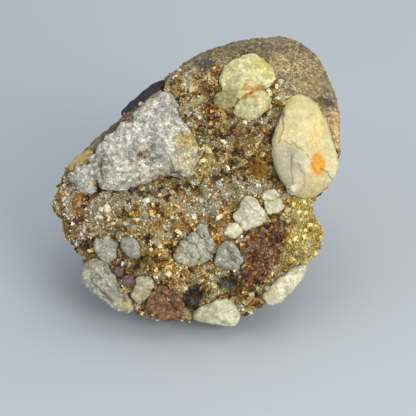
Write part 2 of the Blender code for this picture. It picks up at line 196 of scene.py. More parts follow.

# Stains, changes of colour and, where noted, painted shade inside one pebble: place, half sizes, sRGB colour,
# strength
PEBBLE_STAINS_AND_SHADE = {
    # The first great_cream entry is partly the pebble's grey-beige colour and partly painted shade on its
    # left side
    "great_cream": [(43, 6, 9, 12, (176, 171, 146), 0.95), (50, -2, 7, 5, (201, 190, 150), 0.6),
                    (58.5, 8, 3.6, 5.2, (226, 152, 14), 1.0), (57, 26, 3, 10, (228, 200, 108), 0.5),
                    (46, 38, 5, 4, (214, 196, 118), 0.5), (66, 3, 3, 5, (226, 214, 176), 0.7),
                    (56, -4, 7, 6, (188, 170, 118), 0.6), (50, 36, 8, 7, (198, 186, 132), 0.6)],
    "yellow_cap": [(18, 47, 3, 7, (170, 164, 128), 0.7), (14, 52, 4, 6, (200, 196, 146), 0.5),
                   (31, 57, 4, 4, (206, 196, 100), 0.6), (28, 45, 8, 1.4, (196, 134, 40), 0.8)],
    "yellow_tail": [(13, 40, 9, 7, (150, 140, 92), 0.9)],
    "second_yellow": [(26, 38, 12, 8, (206, 196, 140), 0.5), (22, 42, 7, 1.8, (186, 122, 32), 0.8),
                      (25, 34, 6, 5, (190, 188, 160), 0.6)],
    "quartzite": [(-5, 20, 5, 4, (206, 178, 92), 0.85), (-5, 10, 7, 6, (212, 198, 146), 0.7),
                  (-15, 36, 6, 5, (200, 192, 186), 0.6), (-20, 3, 8, 3, (176, 158, 112), 0.5),
                  (-13, 27, 4, 4, (224, 222, 210), 0.6), (-45, 8, 3, 7, (150, 128, 92), 0.5),
                  (-32, 22, 5, 5, (236, 234, 224), 0.8), (-22, 25, 4, 5, (234, 232, 222), 0.7),
                  (-38, 10, 5, 5, (232, 228, 214), 0.7), (-14, 18, 4, 4, (238, 232, 214), 0.8),
                  (-26, 5, 5, 3, (232, 224, 204), 0.7), (-20, 16, 4, 6, (128, 130, 108), 0.45),
                  (-31, 14, 3, 6, (136, 136, 114), 0.4)],
    "layered_rim": [(-35, -60, 4, 3, (212, 198, 138), 0.8), (-53, -40, 4, 3, (190, 172, 148), 0.6)],
    "grey_curved": [(-9, -31, 3, 4, (190, 174, 108), 0.6), (-4, -38, 6, 2.5, (196, 192, 160), 0.6)],
    "fan": [(25, -15, 4, 5, (206, 206, 190), 0.7), (20, -13, 3, 3, (170, 160, 112), 0.4)],
    "pale_oblong": [(-27, -52, 8, 9, (188, 180, 144), 0.7)],
    "red_angular": [(-13, -58, 4, 5, (150, 112, 76), 0.5)],
    "white_foot": [(2, -66, 6, 3, (190, 182, 132), 0.5)],
}

# Cracks and grooves: pebble, points on the face, half width, depth, how dark
CRACKS = [
    ("great_cream", [(45, 20), (49, 16), (52, 14), (55, 10), (57, 5)], 0.22, 0.5, 0.45),
    ("great_cream", [(45.5, 13), (45, 6), (46, 0)], 0.25, 0.5, 0.4),
    ("great_cream", [(48, 9), (51, 4), (51.5, -2)], 0.2, 0.45, 0.4),
    ("great_cream", [(60, 6.5), (63, 4), (66, 0.5)], 0.22, 0.6, 0.7),
    ("great_cream", [(40, 21), (44, 18), (47, 19)], 0.2, 0.3, 0.35),
    ("great_cream", [(41.5, 33), (41, 25), (38.5, 19)], 0.5, 0.5, 0.35),
    ("quartzite", [(-46, 13), (-47.5, 7), (-46, 1)], 0.6, 0.9, 0.55),
    ("quartzite", [(-22, 31), (-20, 24), (-24, 16)], 0.5, 0.7, 0.4),
    ("quartzite", [(-28, 13), (-22, 11), (-16, 13)], 0.45, 0.6, 0.45),
    ("quartzite", [(-14, 12), (-12, 8), (-13, 5)], 0.5, 0.7, 0.5),
    ("layered_rim", [(-50, -45), (-44, -51), (-39, -58)], 0.5, 0.8, 0.45),
    ("layered_rim", [(-53, -48), (-47, -54), (-42, -59)], 0.45, 0.7, 0.4),
    ("layered_rim", [(-46, -43), (-41, -50), (-35, -58)], 0.4, 0.6, 0.35),
    ("red_angular", [(-18, -53.5), (-14.5, -58), (-11, -62)], 0.35, 1.0, 0.75),
    ("grey_curved", [(-6, -28), (-1, -31), (1, -36), (0, -39)], 0.4, 0.7, 0.4),
    ("grey_curved", [(-9, -31), (-5, -33), (-3, -37)], 0.4, 0.6, 0.35),
    ("grey_band", [(-1, -23), (3, -27), (5.5, -32)], 0.3, 0.5, 0.4),
    ("fan", [(23, -9), (27, -14), (32, -17)], 0.3, 0.4, 0.3),
    ("grey_white", [(13, -32), (17, -35), (20, -38)], 0.3, 0.5, 0.35),
]

# Patches of the matrix: place, half sizes, sRGB colour, strength. Some of the dark ones are painted shade
MATRIX_PATCHES = [
    # pale and sugary
    (-44, -12, 7, 5, (212, 200, 174), 0.7), (-26, -9, 5, 5, (206, 196, 172), 0.6),
    (2, -12, 8, 6, (208, 200, 176), 0.7), (12, -3, 8, 5, (204, 196, 168), 0.6),
    (-51, -15, 4, 6, (204, 194, 172), 0.6), (25, -3, 6, 4, (188, 182, 152), 0.6),
    (8, -48, 4, 3, (206, 196, 168), 0.6), (-5, 34, 5, 8, (164, 152, 124), 0.5),
    (-63, -9, 6, 13, (176, 160, 138), 0.7), (-13, -22, 7, 4, (182, 164, 124), 0.5),
    (-38, -5, 9, 3, (176, 150, 126), 0.5), (-27, -20, 6, 4, (190, 178, 146), 0.5),
    # dark; the ones marked below are painted shade
    # Painted shadow: both are the band under the quartzite's lower edge
    (-30, -5, 14, 3, (92, 70, 40), 0.6), (-11, 0, 8, 3, (92, 70, 40), 0.6),
    # Painted shade: the first two are the hollows at the bottom
    (-3, -57.5, 5, 7, (40, 31, 18), 0.9), (15, -50, 6, 4, (44, 38, 22), 0.8),
    (29, -51, 9, 3, (96, 88, 48), 0.7), (-26, -40, 6, 4, (86, 74, 38), 0.6),
    # Painted shadow: the first is the strip along the great cream pebble's left edge
    (38, 28, 3, 13, (88, 68, 36), 0.6), (20, 25, 11, 6, (102, 74, 30), 0.7),
    (36, 0, 4, 5, (100, 82, 38), 0.6), (3, 20, 4, 12, (116, 110, 82), 0.6),
    (16, 8, 8, 7, (114, 86, 38), 0.6), (-40, -22, 7, 3, (100, 78, 46), 0.5),
    # rust and ochre
    (30, 8, 6, 6, (128, 86, 14), 0.95), (-16, -14, 6, 4, (156, 112, 48), 0.6),
    (-18, -39, 11, 6, (150, 112, 44), 0.6), (10, -27, 3, 3, (176, 116, 40), 0.6),
    (-58, -11, 3.5, 7, (160, 108, 52), 0.6), (8, 36, 6, 5, (140, 96, 44), 0.7),
    (-9, -49, 7, 4, (160, 118, 54), 0.6), (-57, -30, 5, 10, (134, 104, 76), 0.6),
    (-40, -42, 6, 6, (126, 94, 62), 0.5), (26, -56, 8, 4, (160, 124, 50), 0.6),
    (47, -32, 4, 2.5, (92, 78, 38), 0.7), (55, -23, 2.5, 3, (92, 78, 38), 0.7),
    (48, -18, 3, 2, (104, 86, 42), 0.6), (53, -34, 3, 2, (70, 60, 34), 0.7),
    (46, -11, 2, 3, (110, 84, 36), 0.6),
    # yellow
    (52, -12, 9, 5, (216, 194, 112), 0.85), (51, -28, 11, 14, (216, 194, 114), 0.85),
    (2, 10, 5, 8, (176, 150, 80), 0.5),
]

# Patches of the skin, in the same terms
SKIN_PATCHES = [
    (3, 57, 6, 3, (76, 68, 60), 0.8), (-4, 53, 6, 3, (150, 146, 122), 0.6),
    (18, 66, 30, 4, (112, 98, 72), 0.7), (45, 60, 9, 6, (178, 154, 112), 0.6),
    (62, 39.5, 5, 2.5, (54, 46, 36), 0.85), (70, 22, 6, 13, (196, 168, 112), 0.8),
    (-42, 26, 8, 6, (92, 78, 56), 0.7), (-30, 34, 9, 4, (96, 80, 60), 0.6),
    (53, 50, 9, 9, (160, 138, 98), 0.6), (-55, 8, 6, 6, (150, 126, 80), 0.5),
    (50, 66, 9, 3, (120, 102, 74), 0.6), (60, 32, 4, 8, (176, 146, 96), 0.6),
]

# Small clasts of the matrix that stand out: across, up, size in millimetres, how pale from 0 to 1
GRANULES = [
    (1, -48, 3.2, 0.95), (6.4, -47, 2.6, 0.9), (-6.8, -52.5, 4.0, 0.8), (9.3, -44, 2.8, 0.85),
    (23, 29, 2.6, 0.8), (-44.6, -12.5, 4.6, 0.85), (-52, -12.5, 3.4, 0.8), (-25.5, -9, 4.2, 0.95),
    (-20, -17, 3.0, 0.9), (-7, -3, 2.8, 0.95), (2, -9, 3.2, 0.9), (10, -17, 3.4, 0.85),
    (-41, -20, 2.8, 0.9), (-14, -45, 3.0, 0.8), (44, -14, 3.8, 0.75), (27, -12, 2.4, 0.9),
    (35.5, 36.5, 2.2, 0.6), (40.5, 48.5, 3.6, 0.5), (38.5, 25, 2.6, 0.95), (-2, -17, 3.4, 0.9),
    (-30, -18, 2.6, 0.85), (-48, -17, 2.6, 0.9), (34, -52, 2.6, 0.85), (26, -55, 3.0, 0.6),
]

# Flush pebbles of the weathered skin, spread by the golden angle as in the solid
SKIN_PEBBLES = 90
SKIN_PEBBLE_LENGTHS = (24.0, 9.0, 14.0, 8.0, 18.0, 7.0, 11.0, 16.0)
SKIN_PEBBLE_WIDTH = 0.74
SKIN_PEBBLE_HEIGHT = 1.3
GOLDEN_ANGLE = math.pi * (3.0 - math.sqrt(5.0))

# Rust on the rims of pebbles: how far it reaches in millimetres, its colour, and the pebbles with most of it
RIM_REACH = 1.8
RIM_RUST = (150, 104, 44)
RUSTY = ("second_yellow", "quartzite", "pale_oblong", "white_foot", "grey_curved", "layered_rim",
         "yellow_tail", "quartzite_left", "white_lower_right")

# Mean colours before patches, sRGB: the sand, the skin, and sand at its palest
SAND_MEAN = (152, 128, 86)
SKIN_MEAN = (138, 122, 90)
PALE_SAND = (222, 212, 180)

# How much red, green and blue add to lightness, the colour of the red clast, and how far a tint may go
LIGHTNESS = (0.3, 0.6, 0.1)
RED_CLAST = (112, 74, 44)
LEAST_TINT = 0.02
MOST_TINT = 1.3

# Sand from dark to pale: share of the grains, sRGB colour
SAND_COLOURS = [(0.00, (36, 26, 12)), (0.08, (96, 68, 28)), (0.17, (148, 104, 38)), (0.28, (186, 138, 56)),
                (0.40, (206, 172, 92)), (0.53, (220, 198, 138)), (0.68, (230, 216, 176)),
                (0.84, (242, 236, 210))]

# Layers of grains: spacing, radii and most in a square metre, whether they are blocks, their seed and tones
GRAIN_LAYERS = {
    "crumbs": (0.0026, 0.0007, 0.0017, 8.0e4, True, 40, (0.2, 1.1)),
    "coarse_sand": (0.00125, 0.00045, 0.0009, 1.4e6, False, 0, (0.0, 1.0)),
    "fine_sand": (0.00088, 0.00025, 0.0005, 3.0e6, False, 20, (0.0, 1.0)),
}
GRAIN_SCALES = ((0.7, 0.5, 0.8), (1.2, 0.9, 1.5))
GRAIN_SINK = (-0.7, 0.45)
FULL_TURNS = (6.28, 6.28, 6.28)
GRAIN_UNEVEN = 0.42
# Height in millimetres over the bed below which a grain is painted darker: painted shade on the lower part of
# each grain
GRAIN_SHADE_HEIGHT = 0.55

# Lamps: place, size, watts and colour; then the sky, and the place on the face that the camera looks at
LAMPS = {
    "overhead": ((0.3, 0.2, 1.2), 1.3, 6.5, (1.0, 0.98, 0.94)),
    "front_right": ((0.75, -1.0, 0.7), 0.8, 15.0, (1.0, 0.98, 0.94)),
    "left": ((-1.1, -0.7, 0.7), 1.0, 4.0, (0.84, 0.94, 1.0)),
}
LAMP_AIM = (0.0, 0.0, 0.04)
SKY = (0.9, 0.94, 1.0, 1.0)
SKY_STRENGTH = 0.62
CAMERA_AIM = (4.9, -12.7, 0.0)
FLOOR_HALF_SIZE = 3.0
FLOOR_RISE_FROM = 0.3
FLOOR_RISE = 0.35


def colour(red, green, blue):
    """Linear colour with alpha, from sRGB values of 0 to 255."""
    parts = [value / 255.0 for value in (red, green, blue)]
    linear = [part / 12.92 if part < 0.04045 else ((part + 0.055) / 1.055) ** 2.4 for part in parts]
    return (*linear, 1.0)


def face_frame():
    """Turn millimetres on the broken face into metres in the world."""
    across = Vector((1.0, 0.0, 0.0))
    up = Vector((0.0, math.sin(FACE_LEAN), math.cos(FACE_LEAN)))
    out = Vector((0.0, -math.cos(FACE_LEAN), math.sin(FACE_LEAN)))
    turn = Matrix((across, up, out)).transposed().to_4x4()
    middle = Matrix.Translation((-SPOT_ACROSS, -FACE_BEFORE_SPOT, FACE_HEIGHT))
    return Matrix.Scale(MILLIMETRE, 4) @ middle @ turn


def places_of(mesh):
    """Vertex places of a mesh, one row each."""
    places = np.empty(len(mesh.vertices) * 3, np.float32)
    mesh.vertices.foreach_get("co", places)
    return places.reshape(-1, 3).astype(np.float64)


def put_places(mesh, places):
    """Move the vertices of a mesh."""
    mesh.vertices.foreach_set("co", places.astype(np.float32).ravel())
    mesh.update()


def normals_of(mesh):
    """Vertex normals of a mesh, one row each."""
    normals = np.empty(len(mesh.vertices) * 3, np.float32)
    mesh.vertex_normals.foreach_get("vector", normals)
    return normals.reshape(-1, 3).astype(np.float64)


def lumps(places, sizes, shift=0.0):
    """Uneven heights at places, from lump sizes and their heights."""
    moved = [Vector(place) + Vector((shift, 0.0, 0.0)) for place in places]
    return np.array([sum(height * noise.noise(place / size) for size, height in sizes) for place in moved])


def facets(places, size, height):
    """Heights of a fracture: small tilted planes with steps between them."""
    found = np.empty(len(places))
    for number, place in enumerate(places):
        place = Vector(place) / size
        cell = noise.voronoi(place)[1][0]
        tilt = noise.cell_vector(cell * 37.0) - Vector((0.5, 0.5, 0.5))
        found[number] = 2.0 * tilt.xy.dot((place - cell).xy) + 0.8 * tilt.z
    return height * found


def oval(across, up, length, width, turn, uneven=0.0):
    """Outline of an oval, as points on the face."""
    turn = math.radians(turn)
    points = []
    for step in range(OVAL_POINTS):
        angle = step * math.tau / OVAL_POINTS
        swell = 1.0 + uneven * noise.noise((math.cos(angle), math.sin(angle), length + turn))
        along, aside = 0.5 * length * swell * math.cos(angle), 0.5 * width * swell * math.sin(angle)
        points.append((across + along * math.cos(turn) - aside * math.sin(turn),
                       up + along * math.sin(turn) + aside * math.cos(turn)))
    return points


def outline_reach(outline, middle, angles):
    """Distances from the middle to the outline in several directions."""
    rays = np.stack((np.cos(angles), np.sin(angles)), axis=1)
    reach = np.zeros(len(angles))
    points = np.array(outline) - middle
    for start, end in zip(points, np.roll(points, -1, axis=0)):
        edge = end - start
        crossing = rays[:, 0] * edge[1] - rays[:, 1] * edge[0]
        crossing[np.abs(crossing) < 1e-9] = 1e-9
        distance = (start[0] * edge[1] - start[1] * edge[0]) / crossing
        share = (start[0] * rays[:, 1] - start[1] * rays[:, 0]) / crossing
        met = (distance > 0.0) & (share >= -1e-6) & (share <= 1.0 + 1e-6)
        reach = np.where(met, np.maximum(reach, distance), reach)
    return reach


def worn_reach(outline, middle, angles):
    """Distances to the outline with its corners worn off."""
    sides = sum(outline_reach(outline, middle, angles + turn) for turn in (-CORNER_WEAR, CORNER_WEAR))
    return 0.5 * outline_reach(outline, middle, angles) + 0.25 * sides


def ball(name, steps):
    """Mesh of a round ball of radius 1."""
    form = bmesh.new()
    bmesh.ops.create_icosphere(form, subdivisions=steps, radius=1.0)
    mesh = bpy.data.meshes.new(name)
    form.to_mesh(mesh)
    form.free()
    return mesh


def lump_on_outline(mesh, outline, height, root, roundness):
    """Shape a ball into a pebble with this outline; returns its places, its middle and how far up each is."""
    middle = np.mean(np.array(outline, float), axis=0)
    directions = places_of(mesh)
    directions /= np.linalg.norm(directions, axis=1)[:, None]
    across, up, out = directions.T
    angles = np.arctan2(up, across)
    ring = np.hypot(across, up) ** (0.35 + 0.5 * roundness)
    reach = ring * worn_reach(outline, middle, angles)
    level = np.abs(out) ** (0.35 + 0.5 * roundness) * np.where(out > 0.0, height, -root)
    places = np.stack((middle[0] + reach * np.cos(angles), middle[1] + reach * np.sin(angles), level), axis=1)
    return places, middle, out


def seat(places, middle, out, surface, way=Matrix.Identity(4)):
    """Rise of each place that lays a pebble's top on the solid, by least squares over rays along its axis."""
    back = way.inverted()
    offsets = places[:, :2] - middle
    reach = np.linalg.norm(offsets, axis=1).max()
    bend = 1.0 if reach > WIDE_REACH else 0.0
    across, up = (offsets / reach).T
    terms = np.stack((np.ones(len(places)), across, up, bend * across ** 2, bend * across * up,
                      bend * up ** 2), 1)
    kept, rises = [], []
    top = np.nonzero(out > TOP_OUT)[0]
    for number in top[::max(1, len(top) // RAYS)]:
        place = Vector(places[number])
        start = way @ Vector((place.x, place.y, RAY_HEIGHT))
        hit = surface.ray_cast(start, way.to_3x3() @ Vector((0.0, 0.0, -1.0)))[0]
        if hit is not None and abs((back @ hit).z) < RAY_DEPTH:
            kept.append(number)
            rises.append((back @ hit).z - place.z)
    kept, rises = np.array(kept), np.array(rises)
    near = np.abs(rises - np.median(rises)) < FIRST_LIMIT
    for limit in LIMITS:
        rows, level = terms[kept[near]], rises[near].mean()
        stiff = SEAT_STIFFNESS * len(rows) * np.diag((0.0, 1.0, 1.0, 2.0, 2.0, 2.0))
        fit = np.linalg.lstsq(rows.T @ rows + stiff, rows.T @ (rises[near] - level), rcond=None)[0]
        near = np.abs(terms[kept] @ fit + level - rises) < limit
    return terms @ fit + level


def inside_distance(places, outline):
    """Distance of places on the face from an outline, positive inside it."""
    points = np.array(outline, float)
    inside = np.zeros(len(places), bool)
    nearest = np.full(len(places), 1e9)
    for start, end in zip(points, np.roll(points, -1, axis=0)):
        edge = end - start
        share = np.clip(((places[:, :2] - start) @ edge) / (edge @ edge), 0.0, 1.0)
        nearest = np.minimum(nearest, np.linalg.norm(places[:, :2] - start - share[:, None] * edge, axis=1))
        crosses = (start[1] > places[:, 1]) != (end[1] > places[:, 1])
        rise = edge[1] if edge[1] else 1e-9
        inside ^= crosses & (places[:, 0] < start[0] + edge[0] * (places[:, 1] - start[1]) / rise)
    return np.where(inside, nearest, -nearest)


def line_distance(places, points):
    """Distance of places on the face from a line through points."""
    nearest = np.full(len(places), 1e9)
    for start, end in zip(np.array(points[:-1], float), np.array(points[1:], float)):
        edge = end - start
        share = np.clip(((places[:, :2] - start) @ edge) / (edge @ edge), 0.0, 1.0)
        nearest = np.minimum(nearest, np.linalg.norm(places[:, :2] - start - share[:, None] * edge, axis=1))
    return nearest


def warped(places, size, reach):
    """Places moved about by noise, so that patches get ragged edges."""
    return places + reach * np.array([noise.noise_vector(Vector(place) / size) for place in places])


def paint_inside(tint, places, outline, wanted, base, soft):
    """Change the tint inside an outline on the face to another colour, over a soft edge."""
    share = np.clip(0.5 + inside_distance(places, outline) / soft, 0.0, 1.0)[:, None]
    return tint * (1.0 - share) + share * np.array(colour(*wanted)[:3]) / np.array(colour(*base)[:3])


def tint_of(places, patches, base):
    """Factor on the base colour at places, from patches of other colours."""
    base = np.array(colour(*base)[:3])
    tint = np.ones((len(places), 3))
    for across, up, half_across, half_up, wanted, strength in patches:
        spread = ((places[:, 0] - across) / half_across) ** 2 + ((places[:, 1] - up) / half_up) ** 2
        share = (strength * np.clip(1.6 - spread, 0.0, 1.0))[:, None]
        tint = tint * (1.0 - share) + share * np.array(colour(*wanted)[:3]) / base
    return tint


def keep_tint(mesh, tint):
    """Store the tint on a mesh as a colour attribute."""
    layer = mesh.color_attributes.new("tint", "FLOAT_COLOR", "POINT")
    full = np.ones((len(tint), 4), np.float32)
    full[:, :3] = tint
    layer.data.foreach_set("color", full.ravel())


def keep_value(mesh, name, values):
    """Store one number a vertex on a mesh."""
    mesh.attributes.new(name, "FLOAT", "POINT").data.foreach_set("value", values.astype(np.float32))


def read_values(mesh, name):
    """The numbers stored on a mesh, one a vertex, or none where they aren't there."""
    values = np.zeros(len(mesh.vertices), np.float32)
    if name in mesh.attributes:
        mesh.attributes[name].data.foreach_get("value", values)
    return values


def read_tint(mesh):
    """The tint stored on a mesh, one row a vertex."""
    tint = np.empty(4 * len(mesh.vertices), np.float32)
    mesh.color_attributes["tint"].data.foreach_get("color", tint)
    return tint.reshape(-1, 4)[:, :3]


def search_tree(meshes, matrix=Matrix.Identity(4)):
    """Search tree over meshes, moved by a matrix."""
    form = bmesh.new()
    for mesh in meshes:
        form.from_mesh(mesh)
    bmesh.ops.transform(form, matrix=matrix, verts=form.verts)
    tree = bvhtree.BVHTree.FromBMesh(form)
    form.free()
    return tree


class Value:
    """An output of a node, which takes the arithmetic of plain numbers."""

    def __init__(self, shader, socket):
        self.shader = shader
        self.socket = socket

    def maths(self, operation, first, second=0.0):
        return self.shader.node("ShaderNodeMath", {"operation": operation}, {0: first, 1: second})

    def __add__(self, other):
        return self.maths("ADD", self, other)

    def __radd__(self, other):
        return self.maths("ADD", other, self)

    def __sub__(self, other):
        return self.maths("SUBTRACT", self, other)

    def __rsub__(self, other):
        return self.maths("SUBTRACT", other, self)

    def __mul__(self, other):
        return self.maths("MULTIPLY", self, other)

    def __rmul__(self, other):
        return self.maths("MULTIPLY", other, self)

    def __abs__(self):
        return self.maths("ABSOLUTE", self)


class Shader:
    """Builds the nodes of one material around its Principled shader."""

    def __init__(self, name):
        self.material = bpy.data.materials.new(name)
        self.material.use_nodes = True
        self.tree = self.material.node_tree
        self.surface = self.tree.nodes["Principled BSDF"]
        shift, turn, size = face_frame().inverted().decompose()
        spots = self.node("ShaderNodeTexCoord", output="Object")
        self.place = self.node("ShaderNodeMapping", {}, {"Vector": spots, "Location": shift,
                                                         "Rotation": turn.to_euler(), "Scale": size})

    def node(self, kind, settings=None, inputs=None, output=0):
        """Add a node with its settings, then its values and links; gives one of its outputs."""
        made = self.tree.nodes.new(kind)
        for name, setting in (settings or {}).items():
            if name == "stops":
                self.set_stops(made.color_ramp, setting)
            else:
                setattr(made, name, setting)
        for name, given in (inputs or {}).items():
            if isinstance(given, Value):
                self.tree.links.new(given.socket, made.inputs[name])
            else:
                made.inputs[name].default_value = given
        return Value(self, made.outputs[output])

    @staticmethod
    def set_stops(ramp, stops):
        ramp.interpolation = "CONSTANT"
        while len(ramp.elements) < len(stops):
            ramp.elements.new(1.0)
        for element, (position, shade) in zip(ramp.elements, stops):
            element.position = position
            element.color = colour(*shade)

    def vectors(self, operation, first, second):
        """Arithmetic of two vectors."""
        return self.node("ShaderNodeVectorMath", {"operation": operation}, {0: first, 1: second})

    def shifted(self, shift):
        """The place on the stone, moved along the face so that a pattern isn't the same twice."""
        return self.vectors("ADD", self.place, (shift, shift, 0.0))

    def noise(self, size, detail=3.0, shift=0.0):
        """Noise with lumps of about this size in millimetres."""
        return self.node("ShaderNodeTexNoise", {}, {"Vector": self.shifted(shift), "Scale": 1.0 / size,
                                                    "Detail": detail, "Roughness": 0.6})

    def cells(self, size, feature="F1", output="Distance", shift=0.0, ragged=0.0):
        """Cells of about this size in millimetres, with ragged borders where asked."""
        place = self.shifted(shift)
        if ragged:
            stray = self.node("ShaderNodeTexNoise", {}, {"Vector": self.place, "Scale": 0.7, "Detail": 2.0},
                              1)
            reach = 3.0 * ragged
            place = self.vectors("ADD", place, self.vectors("MULTIPLY", stray, (reach, reach, reach)))
        return self.node("ShaderNodeTexVoronoi", {"feature": feature}, {"Vector": place, "Scale": 1.0 / size},
                         output)

    def picks(self, size, shift=0.0, ragged=0.0):
        """One random number for each cell."""
        return self.node("ShaderNodeSeparateColor", {}, {0: self.cells(size, "F1", "Color", shift, ragged)})

    def step(self, value, low, high):
        """Smooth change from 0 at low to 1 at high."""
        return self.node("ShaderNodeMapRange", {"interpolation_type": "SMOOTHSTEP"},
                         {"Value": value, "From Min": low, "From Max": high})

    def mix(self, share, first, second, how="MIX"):
        """A colour between two others, or their product where how is MULTIPLY."""
        return self.node("ShaderNodeMix", {"data_type": "RGBA", "blend_type": how},
                         {0: share, 6: first, 7: second}, 2)

    def tinted(self, base):
        """A colour times the tint stored on the mesh."""
        return self.mix(1.0, base, self.attribute("tint", "Color"), "MULTIPLY")

    def attribute(self, name, output="Fac"):
        return self.node("ShaderNodeAttribute", {"attribute_name": name}, output=output)

    def shade(self, tone, base):
        """A colour made darker or paler by a number."""
        grey = self.node("ShaderNodeCombineXYZ", {}, {0: tone, 1: tone, 2: tone})
        return self.mix(1.0, base, grey, "MULTIPLY")

    def finish(self, base, rough, bumps=()):
        """Link the colour, the roughness and the bumps, given as height and depth in millimetres."""
        self.tree.links.new(base.socket, self.surface.inputs["Base Color"])
        if isinstance(rough, Value):
            self.tree.links.new(rough.socket, self.surface.inputs["Roughness"])
        else:
            self.surface.inputs["Roughness"].default_value = rough
        normal = None
        for height, depth in bumps:
            inputs = {"Height": height, "Distance": depth * MILLIMETRE, "Strength": 1.0}
            if normal is not None:
                inputs["Normal"] = normal
            normal = self.node("ShaderNodeBump", {}, inputs)
        if normal is not None:
            self.tree.links.new(normal.socket, self.surface.inputs["Normal"])
        return self.material


def sand_material():
    """Grains of the matrix, each with its own tone and the tint of its place, paler in some patches, with
    painted shade low on each grain and in dark dots.
    """
    shader = Shader("sand_grains")
    crumb = shader.picks(3.0, 41.0, 1.1)
    tone = 0.4 * shader.attribute("tone") + 0.75 * crumb + 0.5 * shader.noise(7.0, 3.0, 3.0) - 0.35
    tone = tone + 0.45 * shader.attribute("pale")
    base = shader.node("ShaderNodeValToRGB", {"stops": SAND_COLOURS}, {0: tone})
    fine = shader.noise(0.6, 3.0)
    # Dark dots of painted shade, standing for the shadowed pits between the grains
    shade_dots = shader.step(shader.cells(1.5, shift=3.0), 0.16, 0.34)
    # Painted shade: each grain darker where it sits close to the bed, times a speckle and the dark dots
    clean = (0.62 + 1.1 * fine) * (0.2 + 0.8 * shade_dots) * shader.attribute("clean")
    coloured = shader.shade(clean, shader.tinted(base))
    rough = 0.85 - 0.4 * shader.step(tone, 0.6, 0.8)
    return shader.finish(coloured, rough, [(fine, 0.3)])


def matrix_material(settings):
    """Sandy matrix where the stone is broken, and tan weathered skin elsewhere, with painted shade in its
    pits, in the seams round pebbles and between its grains.
    """
    shader = Shader("sandy_matrix")
    skin = shader.attribute("skin")
    hollow = shader.attribute("hollow")
    broad, middling, fine = shader.noise(9.0, 3.0), shader.noise(2.6, 3.0, 11.0), shader.noise(0.7, 3.0, 5.0)
    picked = shader.picks(1.1)
    small = shader.picks(0.6, 31.0)
    crumb = shader.picks(3.0, 41.0, 1.1)
    tone = 0.3 * picked + 0.2 * small + 0.7 * crumb + 0.4 * broad - 0.34 + 0.4 * shader.attribute("pale")
    sand = shader.node("ShaderNodeValToRGB", {"stops": SAND_COLOURS}, {0: tone})
    # Painted shade in the gaps between grains: darker towards the edge of each cell
    gap_shade = shader.step(shader.cells(1.1, "DISTANCE_TO_EDGE"), 0.02, 0.2)
    sand = shader.shade((0.25 + 0.55 * gap_shade) * (0.5 + 0.9 * fine), sand)

    share = shader.step(middling, 0.38, 0.62)
    tan = shader.mix(share, colour(*settings.skin_dark), colour(*settings.skin_pale))
    tan = shader.mix(0.35 * shader.step(broad, 0.45, 0.6), tan, colour(150, 138, 112))
    speck = shader.step(shader.cells(1.3, shift=7.0), 0.34, 0.18) * shader.step(middling, 0.34, 0.46)
    tan = shader.mix(0.9 * speck, tan, colour(40, 33, 24))
    crumb = shader.picks(0.85, 17.0)
    speckled = shader.picks(0.5, 23.0)
    tan = shader.shade((0.3 + 0.7 * crumb + 0.5 * speckled) * (0.2 + 1.55 * fine), tan)

    base = shader.tinted(shader.mix(skin, sand, tan))
    # Painted shade in the pits and in the seams round the pebbles
    base = shader.shade(1.0 - 0.72 * hollow, base)
    bead = 1.0 - shader.cells(1.1)
    grit = shader.noise(0.45, 3.0, 2.0)
    return shader.finish(base, 0.86 - 0.1 * broad, [(bead, 0.5), (fine, 0.6), (grit, 0.3)])


def pebble_material(name, look, tinted=True, toned=False):
    """Quartz or other pebble: two colours mottled, with veins, pits and specks, and painted shade at the
    borders of its crystals.
    """
    shader = Shader(name)
    shift = 13.0 + 7.0 * sorted(LOOKS).index(look["key"])
    broad = shader.noise(look["mottle"], 4.0, shift)
    fine, grit = shader.noise(0.8, 3.0, shift), shader.noise(0.32, 2.0)
    base = shader.mix(shader.step(broad, 0.36, 0.64), colour(*look["main"]), colour(*look["second"]))
    ridge = abs(shader.noise(0.55 * look["mottle"], 4.0, shift + 3.0) - 0.5)
    base = shader.mix(look["veins"] * shader.step(ridge, 0.035, 0.0), base, colour(*look["vein"]))
    crystal = shader.picks(look["crystal"][0], shift)
    # Painted shade at the borders of the crystals, deeper where the crystals stand higher
    edge = shader.step(shader.cells(look["crystal"][0], "DISTANCE_TO_EDGE", shift=shift), 0.0, 0.12)
    depth = look["crystal"][1]
    base = shader.shade((1.0 - min(0.5, 1.1 * depth)) + min(0.5, 1.1 * depth) * edge, base)
    base = shader.shade((1.0 - 0.5 * look["specks"]) + look["specks"] * crystal, base)
    pit = shader.step(shader.cells(1.7, shift=shift + 20.0), 0.2, 0.1) * shader.step(fine, 0.5, 0.6)
    base = shader.mix(look["pits"] * pit, base, colour(58, 46, 30))
    grainy = 0.5 * shader.picks(0.62, shift + 5.0) + shader.noise(1.0, 4.0, shift)
    sugar = look["sugar"]
    base = shader.shade((1.0 - sugar) + 1.33 * sugar * grainy, base)
    base = shader.shade(0.8 + 0.4 * fine, base)
    if tinted:
        base = shader.tinted(base)
    if toned:
        base = shader.shade(0.65 + 0.7 * shader.attribute("tone"), base)
    rough = look["rough"] - 0.12 + 0.3 * fine
    return shader.finish(base, rough, [(grainy, 0.2 + 0.5 * sugar), (fine, 0.12 + 0.5 * depth), (grit, 0.07)])


def dress(mesh, name, material):
    """Make a piece of a mesh laid out on the face: into metres, smooth, riding on the stone's body."""
    mesh.transform(face_frame())
    mesh.materials.clear()
    mesh.materials.append(material)
    mesh.shade_smooth()
    piece = bpy.data.objects.new(name, mesh)
    bpy.context.scene.collection.objects.link(piece)
    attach(piece, "root")
    return piece


